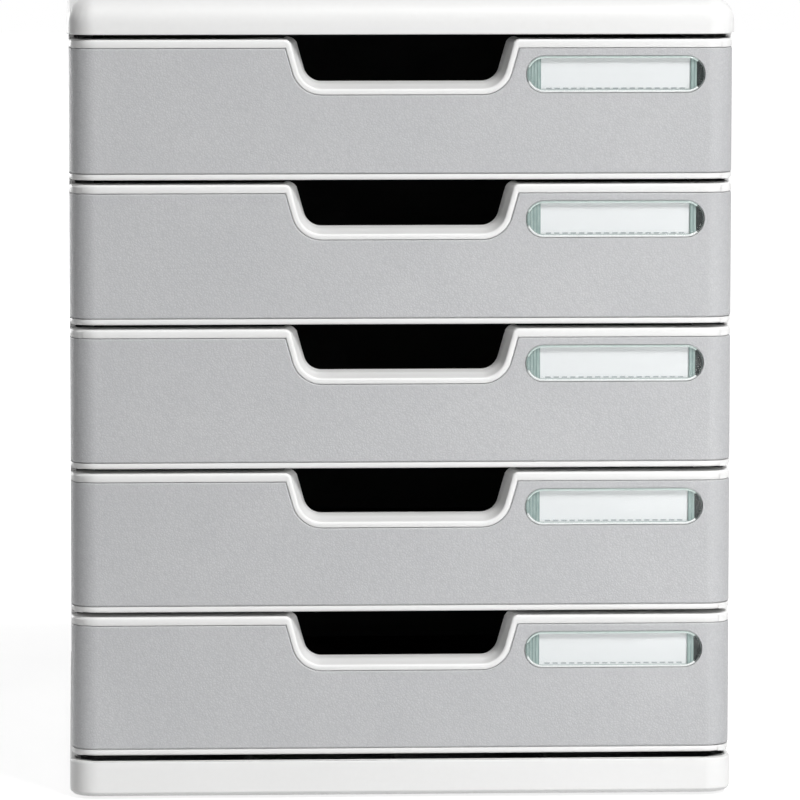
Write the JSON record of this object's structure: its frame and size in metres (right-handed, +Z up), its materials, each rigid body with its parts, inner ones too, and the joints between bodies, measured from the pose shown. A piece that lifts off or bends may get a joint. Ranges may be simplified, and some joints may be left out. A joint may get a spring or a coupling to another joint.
{
  "type": "desktop drawer unit",
  "caption": "Desktop drawer unit for A4 paper and small parts: white case, sliding trays behind grey inlaid fronts with finger notches and clear label windows.",
  "frame": {"origin": "on the surface that the feet stand on, under the middle of the unit", "axes": "+Z up, -Y out of the drawer fronts, +X to the right of someone facing the fronts"},
  "size_m": [0.288, 0.339, 0.348],
  "materials": {
    "white_plastic": "satin moulded white",
    "panel_grey": "light cool grey with a fine leather-like mould grain",
    "tray_charcoal": "dark charcoal, fine spark-eroded texture",
    "window_clear": "clear, faintly green",
    "card_white": "uncoated white paper card",
    "rubber_grey": "soft matt rubber"
  },
  "bodies": {
    "case": {"lid": "white_plastic", "base": "white_plastic", "left_side_panel": "white_plastic", "right_side_panel": "white_plastic", "back_panel": "white_plastic", "feet": "rubber_grey"},
    "drawer_1": {"drawer_1_tray": "tray_charcoal", "drawer_1_front_shell": "white_plastic", "drawer_1_front_panel": "panel_grey", "drawer_1_label_window": "window_clear", "drawer_1_label_card": "card_white"},
    "drawer_2": {"drawer_2_tray": "tray_charcoal", "drawer_2_front_shell": "white_plastic", "drawer_2_front_panel": "panel_grey", "drawer_2_label_window": "window_clear", "drawer_2_label_card": "card_white"},
    "drawer_3": {"drawer_3_tray": "tray_charcoal", "drawer_3_front_shell": "white_plastic", "drawer_3_front_panel": "panel_grey", "drawer_3_label_window": "window_clear", "drawer_3_label_card": "card_white"},
    "drawer_4": {"drawer_4_tray": "tray_charcoal", "drawer_4_front_shell": "white_plastic", "drawer_4_front_panel": "panel_grey", "drawer_4_label_window": "window_clear", "drawer_4_label_card": "card_white"},
    "drawer_5": {"drawer_5_tray": "tray_charcoal", "drawer_5_front_shell": "white_plastic", "drawer_5_front_panel": "panel_grey", "drawer_5_label_window": "window_clear", "drawer_5_label_card": "card_white"}
  },
  "joints": [
    {"name": "drawer_1_slide", "type": "slide", "parent": "case", "child": "drawer_1", "axis": [0, -1, 0], "range_m": [0, 0.23]},
    {"name": "drawer_2_slide", "type": "slide", "parent": "case", "child": "drawer_2", "axis": [0, -1, 0], "range_m": [0, 0.23]},
    {"name": "drawer_3_slide", "type": "slide", "parent": "case", "child": "drawer_3", "axis": [0, -1, 0], "range_m": [0, 0.23]},
    {"name": "drawer_4_slide", "type": "slide", "parent": "case", "child": "drawer_4", "axis": [0, -1, 0], "range_m": [0, 0.23]},
    {"name": "drawer_5_slide", "type": "slide", "parent": "case", "child": "drawer_5", "axis": [0, -1, 0], "range_m": [0, 0.23]}
  ]
}
